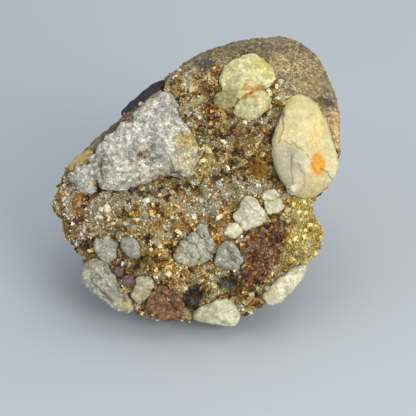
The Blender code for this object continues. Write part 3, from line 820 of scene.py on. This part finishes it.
def solid_surface():
    """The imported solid's surface, in millimetres on the face, as a search tree and a merged mesh."""
    form = bmesh.new()
    form.from_mesh(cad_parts[NODE].data)
    bmesh.ops.remove_doubles(form, verts=form.verts, dist=1e-6)
    bmesh.ops.recalc_face_normals(form, faces=form.faces)
    merged = bpy.data.meshes.new("merged_solid")
    form.to_mesh(merged)
    form.free()
    return search_tree([merged], face_frame().inverted()), merged


def all_face_pebbles():
    """Every pebble of the break: outline, height, roundness and look."""
    pebbles = dict(FACE_PEBBLES)
    for name, (across, up, length, width, turn, height, roundness, look) in OVAL_PEBBLES.items():
        pebbles[name] = (oval(across, up, length, width, turn), height, roundness, look)
    return pebbles


class StoneSettings(bpy.types.PropertyGroup):
    """Sizes and colours of the stone."""

    voxel: FloatProperty(name="Detail of the matrix", description="Spacing of the matrix surface's vertices",
                         default=0.0008, unit="LENGTH")
    proud: FloatProperty(name="Pebble lift", default=0.22,
                         description="How far a pebble stands off the solid, in millimetres")
    crevice: FloatProperty(name="Crevice depth", default=0.7,
                           description="Depth of the seam round a pebble, in millimetres")
    skin_pale: FloatVectorProperty(name="Pale skin", description="Paler colour of the skin, sRGB, 0 to 255",
                                   default=(176, 156, 112))
    skin_dark: FloatVectorProperty(name="Dark skin", description="Darker colour of the skin, sRGB, 0 to 255",
                                   default=(116, 100, 72))


class SandSettings(bpy.types.PropertyGroup):
    """Sizes and numbers of the grains of sand."""

    spacing: FloatProperty(name="Spacing", description="Factor on the least distance between grains",
                           default=1.0)
    seed: IntProperty(name="Seed", description="Changes where the grains lie", default=4)


class StageSettings(bpy.types.PropertyGroup):
    """Floor, light and camera."""

    elevation: FloatProperty(name="Camera elevation", description="Angle of the camera above the horizon",
                             default=math.radians(35), subtype="ANGLE")
    lens: FloatProperty(name="Lens", description="Focal length of the camera, in millimetres", default=150.0)
    span: FloatProperty(name="Span", description="Width of the view at the broken face", default=0.203,
                        unit="LENGTH")
    floor: FloatVectorProperty(name="Floor", description="Colour of the floor, sRGB, 0 to 255",
                               default=(172, 179, 185))


class STONE_OT_face_pebbles(bpy.types.Operator):
    """Build the pebbles that the break laid open"""
    bl_idname = "stone.face_pebbles"
    bl_label = "Pebbles of the break"

    def execute(self, context):
        surface, _ = solid_surface()
        lift = context.scene.stone.proud
        for number, (name, (outline, height, roundness, key)) in enumerate(all_face_pebbles().items()):
            if name in SANDY_LUMPS:
                continue
            look = LOOKS[key]
            extent = max(point[0] for point in outline) - min(point[0] for point in outline)
            steps = 7 if extent > 30.0 else 6 if extent > 11.0 else 5
            mesh = ball(name, steps)
            root = height + ROOT_SHARE * extent
            places, middle, out = lump_on_outline(mesh, outline, height, root, roundness)
            places[:, 2] += (1.15 - roundness) * lumps(places, CHIP_LUMPS, 30.0 * number)
            places[:, 2] += seat(places, middle, out, surface)
            places[:, :2] = warped(places, 3.6, look["ragged"])[:, :2]
            put_places(mesh, places)

            normals = normals_of(mesh)
            relief = lift * (1.0 + extent / 30.0) + facets(places, *look["facet"])
            relief += facets(places, *look["crystal"])
            relief += lumps(places, ((3.0, 0.5 * look["facet"][1]), (1.1, 0.7 * look["crystal"][1])))
            dark = np.zeros(len(places))
            for owner, points, half, depth, strength in CRACKS:
                if owner == name:
                    away = line_distance(warped(places, 2.5, 0.7), points)
                    groove = np.exp(-(away / half) ** 2)
                    relief -= depth * groove
                    dark = np.maximum(dark, strength * np.exp(-(away / (1.2 * half)) ** 2))
            places += normals * relief[:, None]
            put_places(mesh, places)
            tint = tint_of(warped(places, 4.0, 2.2), PEBBLE_STAINS_AND_SHADE.get(name, []), look["main"])
            keep_tint(mesh, tint * (1.0 - dark)[:, None])
            dress(mesh, name, pebble_material(name, look))
        return {"FINISHED"}


def join_pebbles(name, spots, surface, look, steps, ragged):
    """One piece of many small pebbles: each has a place, a normal, a length, height, root, lift and tone."""
    joined = bmesh.new()
    tones = []
    for number, (place, normal, length, height, root, lift, tone) in enumerate(spots):
        way = Matrix.Translation(place) @ normal.to_track_quat("Z", "Y").to_matrix().to_4x4()
        outline = oval(0.0, 0.0, length, SKIN_PEBBLE_WIDTH * length, 47.0 * number, uneven=0.6)
        mesh = ball(name, steps)
        places, middle, out = lump_on_outline(mesh, outline, height, root, 0.85)
        places[:, 2] += seat(places, middle, out, surface, way) + lift
        places[:, 2] += lumps(places, ((6.0, 0.9), (1.6, 0.15)), 9.0 * number)
        places += facets(places + 11.0 * number, 1.6, ragged)[:, None] * normals_of(mesh)
        put_places(mesh, places)
        mesh.transform(way)
        tones += [tone] * len(mesh.vertices)
        joined.from_mesh(mesh)
        bpy.data.meshes.remove(mesh)
    whole = bpy.data.meshes.new(name)
    joined.to_mesh(whole)
    joined.free()
    keep_value(whole, "tone", np.array(tones))
    return dress(whole, name, pebble_material(name, look, tinted=False, toned=True))


class STONE_OT_skin_pebbles(bpy.types.Operator):
    """Build the pebbles that lie almost flush in the weathered skin"""
    bl_idname = "stone.skin_pebbles"
    bl_label = "Pebbles of the skin"

    def execute(self, context):
        surface, _ = solid_surface()
        lift = context.scene.stone.proud - 0.3
        spots = []
        for number in range(SKIN_PEBBLES):
            height = 1.0 - 2.0 * (number + 0.5) / SKIN_PEBBLES
            ring, angle = math.sqrt(1.0 - height * height), number * GOLDEN_ANGLE
            direction = Vector((ring * math.cos(angle), ring * math.sin(angle), height))
            place, normal, _, _ = surface.ray_cast(CORE, direction)
            if normal.z > -0.15 or place.z > -14.0:
                continue
            length = SKIN_PEBBLE_LENGTHS[number % len(SKIN_PEBBLE_LENGTHS)]
            around = [surface.find_nearest(place + 0.35 * length * sign * axis)[1]
                      for axis in Matrix.Identity(3) for sign in (1.0, -1.0)]
            normal = sum(around, normal).normalized()
            tone = (number * 0.618) % 1.0
            spots.append((place, normal, length, SKIN_PEBBLE_HEIGHT, 0.2 * length, lift, tone))
        look = dict(LOOKS["brown_skin"], main=(164, 146, 106), second=(132, 112, 78))
        join_pebbles("skin_pebbles", spots, surface, look, 4, 0.0)
        return {"FINISHED"}


class STONE_OT_granules(bpy.types.Operator):
    """Build the small clasts that stand out of the sandy matrix"""
    bl_idname = "stone.granules"
    bl_label = "Small clasts of the matrix"

    def execute(self, context):
        surface, _ = solid_surface()
        spots = []
        for across, up, size, paleness in GRANULES:
            place, normal, _, _ = surface.ray_cast(Vector((across, up, 60.0)), Vector((0.0, 0.0, -1.0)))
            spots.append((place, normal, 1.15 * size, 0.45 * size, 0.4 * size, 0.1 * size, paleness - 0.2))
        join_pebbles("granules", spots, surface, LOOKS["white_quartz"], 4, 0.5)
        return {"FINISHED"}


class STONE_OT_matrix(bpy.types.Operator):
    """Build the matrix: the solid's own surface, finer, sandy where it is broken and smooth in the skin"""
    bl_idname = "stone.matrix"
    bl_label = "Matrix"

    def execute(self, context):
        settings = context.scene.stone
        _, merged = solid_surface()
        rough = bpy.data.objects.new("rough_matrix", merged)
        context.scene.collection.objects.link(rough)
        remesh = rough.modifiers.new("even mesh", "REMESH")
        remesh.mode = "VOXEL"
        remesh.voxel_size = settings.voxel
        smooth = rough.modifiers.new("no facets", "SMOOTH")
        smooth.factor = 0.5
        smooth.iterations = 6
        context.view_layer.update()
        mesh = bpy.data.meshes.new_from_object(rough.evaluated_get(context.evaluated_depsgraph_get()))
        bpy.data.objects.remove(rough)
        bpy.data.meshes.remove(merged)
        mesh.name = "matrix"
        mesh.transform(face_frame().inverted())

        places, normals = places_of(mesh), normals_of(mesh)
        ragged = warped(places, 6.0, 2.0)
        within = np.minimum(inside_distance(ragged, BREAK_EDGE), ragged[:, 2] + BREAK_DEPTH)
        skin = 1.0 - np.clip(0.5 + within / EDGE_SOFTNESS, 0.0, 1.0)
        broken = 1.0 - skin

        names = [name for name in all_face_pebbles() if name not in SANDY_LUMPS]
        pieces = [bpy.data.objects[name].data for name in names + ["skin_pebbles"]]
        pebbles = search_tree(pieces, face_frame().inverted())
        covered, near = np.zeros(len(places)), np.full(len(places), 9.0)
        for number, (place, normal) in enumerate(zip(places, normals)):
            place, normal = Vector(place), Vector(normal)
            _, _, _, near[number] = pebbles.find_nearest(place)
            if near[number] > FAR:
                continue
            hit, facing, _, _ = pebbles.ray_cast(place - 0.4 * normal, normal, 9.0)
            covered[number] = hit is not None and facing.dot(normal) > 0.0
        seam = np.clip(1.0 - near / SEAM_WIDTH, 0.0, 1.0) * (1.0 - covered)

        relief = broken * (lumps(places, MATRIX_LUMPS) + facets(places, *MATRIX_FACETS))
        relief += skin * (lumps(places, SKIN_LUMPS) + sum(facets(places, *sizes) for sizes in SKIN_FACETS))
        pits = np.array([noise.voronoi(Vector(place) / PIT_SPACING)[0][0] for place in ragged])
        pit = np.clip(1.0 - pits / PIT_SIZE, 0.0, 1.0)
        relief -= (0.35 + 0.65 * broken) * PIT_DEPTH * pit
        relief = relief * (1.0 - covered)
        relief -= settings.crevice * (2.4 * covered + 0.7 * seam * broken + 0.25 * seam)
        places += normals * relief[:, None]
        put_places(mesh, places)

        sandy, pale = self.sand_tint(places, ragged)
        keep_value(mesh, "pale", broken * pale)
        tint = sandy * broken[:, None] + tint_of(ragged, SKIN_PATCHES, SKIN_MEAN) * skin[:, None]
        keep_tint(mesh, tint)
        keep_value(mesh, "skin", skin)
        # How much painted shade the pits and the seams round the pebbles get
        hollow = 0.4 * seam * broken + 0.3 * seam + 0.7 * pit * broken
        keep_value(mesh, "hollow", np.clip(hollow, 0.0, 1.0))
        fringe = FRINGE_SAND * np.clip(1.0 + within / FRINGE_WIDTH, 0.0, 1.0)
        sand = np.maximum(broken, fringe) * (1.0 - covered) * (1.0 - 0.6 * seam) - 0.5 * pit
        keep_value(mesh, "sand", np.clip(sand, 0.0, 1.0))
        piece = dress(mesh, "matrix", matrix_material(settings))
        self.rest_on_floor(piece)
        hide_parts(NODE)
        self.stain_rims(piece, names)
        return {"FINISHED"}

    @staticmethod
    def sand_tint(places, ragged):
        """Tint of the sandy matrix at each place, and how far its grains go over to pale ones."""
        tint = tint_of(ragged, MATRIX_PATCHES, SAND_MEAN)
        red = FACE_PEBBLES["red_porous"][0]
        tint = paint_inside(tint, ragged, red, RED_CLAST, SAND_MEAN, 1.5)
        clotted = np.array([noise.noise(Vector(place) / CLOT_SIZE) for place in places])
        clotted *= np.clip(0.5 + inside_distance(ragged, red) / 1.5, 0.0, 1.0)
        tint *= 1.0 + CLOT_STRENGTH * clotted[:, None]
        shady = np.array([noise.noise(Vector(place) / 9.0) + 0.5 * noise.noise(Vector(place) / 3.5)
                          for place in places])
        tint *= 1.0 + np.array((0.42, 0.5, 0.62)) * shady[:, None]
        plain, washed = np.array(colour(*SAND_MEAN)[:3]), np.array(colour(*PALE_SAND)[:3])
        wanted = np.clip(tint, LEAST_TINT, 3.0) * plain
        light = wanted @ np.array(LIGHTNESS) / (plain @ np.array(LIGHTNESS))
        pale = np.clip(light - 1.0, 0.0, 1.0)[:, None]
        return np.clip(wanted / (plain * (1.0 - pale) + washed * pale), LEAST_TINT, MOST_TINT), pale[:, 0]

    @staticmethod
    def stain_rims(piece, names):
        """Rust and dirt on each pebble where it comes out of the matrix, and how much sand sticks there."""
        tree = search_tree([piece.data])
        rust, back = np.array(colour(*RIM_RUST)[:3]), face_frame().inverted()
        for name in names:
            mesh = bpy.data.objects[name].data
            away = np.empty(len(mesh.vertices))
            for number, vertex in enumerate(mesh.vertices):
                near, facing, _, distance = tree.find_nearest(vertex.co)
                above = (vertex.co - near).dot(facing) > 0.0
                away[number] = distance / MILLIMETRE if above else -0.5
            spots = [back @ vertex.co for vertex in mesh.vertices]
            patchy = np.array([noise.noise(spot / 5.0) + 0.6 * noise.noise(spot / 1.6) for spot in spots])
            share = np.clip(0.45 + 1.1 * patchy, 0.0, 1.0) * np.clip(1.15 - away / RIM_REACH, 0.0, 1.0)
            share *= 1.0 if name in RUSTY else 0.6
            tint = read_tint(mesh) * (1.0 - 0.6 * share[:, None] * (1.0 - rust))
            mesh.color_attributes.remove(mesh.color_attributes["tint"])
            keep_tint(mesh, tint)
            stuck = np.clip(0.5 + 1.2 * patchy, 0.0, 1.0) * np.clip(1.3 - away / 1.1, 0.0, 1.0)
            keep_value(mesh, "sand", np.where(away < 0.0, 0.0, stuck))

    @staticmethod
    def rest_on_floor(piece):
        """Nothing of the matrix reaches below the flat spot."""
        places = places_of(piece.data)
        places[:, 2] = np.maximum(places[:, 2], 0.0)
        put_places(piece.data, places)


# What the bed of the sand knows of each place
BED_LAYERS = ("sand", "pale", "tint", "skin", "hollow")


class STONE_OT_sand(bpy.types.Operator):
    """Scatter grains of sand over the broken matrix"""
    bl_idname = "stone.sand"
    bl_label = "Grains of sand"

    @staticmethod
    def bed():
        """The matrix and the pebbles as one mesh, with how much sand each place holds and its tint."""
        pieces = [bpy.data.objects["matrix"]]
        pieces += [bpy.data.objects[name] for name in all_face_pebbles() if name not in SANDY_LUMPS]
        form = bmesh.new()
        sand, pale, tint = [], [], []
        for piece in pieces:
            bare = piece.data.copy()
            sand.append(read_values(bare, "sand"))
            pale.append(read_values(bare, "pale"))
            tint.append(read_tint(bare) if piece is pieces[0] else np.ones((len(bare.vertices), 3)))
            for name in [layer.name for layer in bare.attributes if layer.name in BED_LAYERS]:
                bare.attributes.remove(bare.attributes[name])
            form.from_mesh(bare)
            bpy.data.meshes.remove(bare)
        whole = bpy.data.meshes.new("sand_bed")
        form.to_mesh(whole)
        form.free()
        keep_value(whole, "sand", np.concatenate(sand))
        keep_value(whole, "pale", np.concatenate(pale))
        keep_tint(whole, np.concatenate(tint))
        return whole

    @staticmethod
    def height_over(ground, place):
        """Height of a place over the bed, in millimetres, less than 0 below it."""
        near, facing, _, _ = ground.find_nearest(place)
        return (place - near).dot(facing)

    def layer(self, bed, ground, name, material, seed, spacing, smallest, largest, most, blocky, tones):
        """One layer of grains, as a joined mesh that the nodes spread over the bed."""
        tree = bpy.data.node_groups.new(name, "GeometryNodeTree")
        tree.interface.new_socket("Geometry", in_out="INPUT", socket_type="NodeSocketGeometry")
        tree.interface.new_socket("Geometry", in_out="OUTPUT", socket_type="NodeSocketGeometry")

        def node(kind, settings=None, inputs=None):
            made = tree.nodes.new(kind)
            for key, setting in (settings or {}).items():
                setattr(made, key, setting)
            for key, given in (inputs or {}).items():
                if isinstance(given, bpy.types.NodeSocket):
                    tree.links.new(given, made.inputs[key])
                else:
                    made.inputs[key].default_value = given
            return made.outputs

        def drawn(low, high, number):
            vector = isinstance(low, tuple)
            kind = "FLOAT_VECTOR" if vector else "FLOAT"
            made = tree.nodes.new("FunctionNodeRandomValue")
            made.data_type = kind
            first = 0 if vector else 2
            made.inputs[first].default_value = low
            made.inputs[first + 1].default_value = high
            made.inputs["Seed"].default_value = seed + number
            return made.outputs[0 if vector else 1]

        taken = node("NodeGroupInput")
        wanted = node("GeometryNodeInputNamedAttribute", {"data_type": "FLOAT"}, {"Name": "sand"})
        spots = node("GeometryNodeDistributePointsOnFaces", {"distribute_method": "POISSON"},
                     {"Mesh": taken[0], "Distance Min": spacing, "Density Max": most,
                      "Density Factor": wanted[0], "Seed": seed})
        if blocky:
            form = node("GeometryNodeMeshCube", {}, {"Size": (1.5, 1.5, 1.5), "Vertices X": 3,
                                                     "Vertices Y": 3, "Vertices Z": 3})
        else:
            form = node("GeometryNodeMeshIcoSphere", {}, {"Radius": 1.0, "Subdivisions": 1})
        rare = node("ShaderNodeMath", {"operation": "POWER"}, {0: drawn(0.0, 1.0, 4), 1: 2.2})
        radius = node("ShaderNodeMapRange", {}, {"Value": rare[0], "To Min": smallest, "To Max": largest})
        sizes = node("ShaderNodeVectorMath", {"operation": "SCALE"},
                     {0: drawn(*GRAIN_SCALES, 2), "Scale": radius[0]})
        sunk = node("ShaderNodeMath", {"operation": "MULTIPLY"}, {0: drawn(*GRAIN_SINK, 5), 1: radius[0]})
        moved = node("ShaderNodeVectorMath", {"operation": "SCALE"}, {0: spots[1], "Scale": sunk[0]})
        placed = node("GeometryNodeSetPosition", {}, {"Geometry": spots[0], "Offset": moved[0]})
        grains = node("GeometryNodeInstanceOnPoints", {},
                      {"Points": placed[0], "Instance": form[0],
                       "Rotation": drawn((0.0, 0.0, 0.0), FULL_TURNS, 1), "Scale": sizes[0]})
        toned = node("GeometryNodeStoreNamedAttribute", {"data_type": "FLOAT", "domain": "INSTANCE"},
                     {"Geometry": grains[0], "Name": "tone", "Value": drawn(*tones, 3)})
        real = node("GeometryNodeRealizeInstances", {}, {"Geometry": toned[0]})
        node("NodeGroupOutput", {}, {0: real[0]})
        seedbed = bpy.data.objects.new(name, bed)
        bpy.context.scene.collection.objects.link(seedbed)
        spread = seedbed.modifiers.new("grains", "NODES")
        spread.node_group = tree
        bpy.context.view_layer.update()
        mesh = bpy.data.meshes.new_from_object(seedbed.evaluated_get(bpy.context.evaluated_depsgraph_get()))
        bpy.data.objects.remove(seedbed)
        mesh.name = name
        mesh.transform(face_frame().inverted())
        places = places_of(mesh)
        above = np.array([self.height_over(ground, Vector(place)) for place in places])
        # Painted shade: the parts of each grain nearest the bed are darker, its top lighter
        keep_value(mesh, "clean", np.clip(0.3 + 0.62 * above / GRAIN_SHADE_HEIGHT, 0.3, 1.0))
        uneven = GRAIN_UNEVEN * largest / MILLIMETRE
        places += uneven * np.array([noise.noise_vector(Vector(place) / (2.4 * uneven)) for place in places])
        put_places(mesh, places)
        dress(mesh, name, material)
        mesh.shade_flat()

    def execute(self, context):
        settings = context.scene.sand
        material = sand_material()
        bed = self.bed()
        ground = search_tree([bed], face_frame().inverted())
        for name, (spacing, smallest, largest, most, blocky, seed, tones) in GRAIN_LAYERS.items():
            self.layer(bed, ground, name, material, settings.seed + seed, settings.spacing * spacing,
                       smallest, largest, most, blocky, tones)
        bpy.data.meshes.remove(bed)
        return {"FINISHED"}


class STONE_OT_stage(bpy.types.Operator):
    """Lay the floor, hang the lights and set up the camera"""
    bl_idname = "stone.stage"
    bl_label = "Floor, light and camera"

    def execute(self, context):
        settings = context.scene.stage
        form = bmesh.new()
        bmesh.ops.create_grid(form, x_segments=60, y_segments=60, size=FLOOR_HALF_SIZE)
        for vertex in form.verts:
            behind = max(0.0, vertex.co.y - FLOOR_RISE_FROM)
            vertex.co.z = FLOOR_RISE * behind * behind
        mesh = bpy.data.meshes.new("floor")
        form.to_mesh(mesh)
        form.free()
        mesh.shade_smooth()
        floor = bpy.data.objects.new("floor", mesh)
        context.scene.collection.objects.link(floor)
        shader = Shader("floor_paper")
        wide = shader.noise(260.0, 2.0)
        base = shader.shade(0.97 + 0.06 * wide, colour(*settings.floor))
        mesh.materials.append(shader.finish(base, 0.6))

        for name, (place, size, power, tint) in LAMPS.items():
            lamp = bpy.data.lights.new(name, "AREA")
            lamp.size = size
            lamp.energy = power
            lamp.color = tint
            light = bpy.data.objects.new(name, lamp)
            light.location = place
            aim = Vector(LAMP_AIM) - light.location
            light.rotation_euler = aim.to_track_quat("-Z", "Y").to_euler()
            context.scene.collection.objects.link(light)
        world = bpy.data.worlds.new("studio")
        world.use_nodes = True
        sky = world.node_tree.nodes["Background"].inputs
        sky["Color"].default_value = SKY
        sky["Strength"].default_value = SKY_STRENGTH
        context.scene.world = world
        context.scene.view_settings.view_transform = "Standard"

        lens = bpy.data.cameras.new("camera")
        lens.lens = settings.lens
        lens.sensor_width = 36.0
        camera = bpy.data.objects.new("camera", lens)
        middle = face_frame() @ Vector(CAMERA_AIM)
        back = Vector((0.0, -math.cos(settings.elevation), math.sin(settings.elevation)))
        distance = 0.5 * settings.span / (0.5 * lens.sensor_width / settings.lens)
        camera.location = middle + distance * back
        camera.rotation_euler = back.to_track_quat("Z", "Y").to_euler()
        context.scene.collection.objects.link(camera)
        context.scene.camera = camera
        return {"FINISHED"}


OPERATORS = (STONE_OT_face_pebbles, STONE_OT_skin_pebbles, STONE_OT_granules, STONE_OT_matrix, STONE_OT_sand,
             STONE_OT_stage)


class STONE_PT_panel(bpy.types.Panel):
    """Lists the stone's settings and its building steps"""
    bl_label = "Puddingstone"
    bl_idname = "STONE_PT_panel"
    bl_space_type = "VIEW_3D"
    bl_region_type = "UI"
    bl_category = "Puddingstone"

    def draw(self, context):
        for group in (context.scene.stone, context.scene.sand, context.scene.stage):
            for name in group.bl_rna.properties.keys():
                if name not in ("rna_type", "name"):
                    self.layout.prop(group, name)
        for operator in OPERATORS:
            self.layout.operator(operator.bl_idname)


CLASSES = (StoneSettings, SandSettings, StageSettings, *OPERATORS, STONE_PT_panel)


def register():
    for each in CLASSES:
        bpy.utils.register_class(each)
    bpy.types.Scene.stone = PointerProperty(type=StoneSettings)
    bpy.types.Scene.sand = PointerProperty(type=SandSettings)
    bpy.types.Scene.stage = PointerProperty(type=StageSettings)


def unregister():
    del bpy.types.Scene.stone, bpy.types.Scene.sand, bpy.types.Scene.stage
    for each in reversed(CLASSES):
        bpy.utils.unregister_class(each)


# mathutils seeds its vector noise from the clock, so each run gives it this seed
NOISE_SEED = 4


def main():
    """Build every piece in order."""
    noise.seed_set(NOISE_SEED)
    register()
    bpy.ops.stone.face_pebbles()
    bpy.ops.stone.skin_pebbles()
    bpy.ops.stone.granules()
    bpy.ops.stone.matrix()
    bpy.ops.stone.sand()
    bpy.ops.stone.stage()


if __name__ == "__main__":
    main()
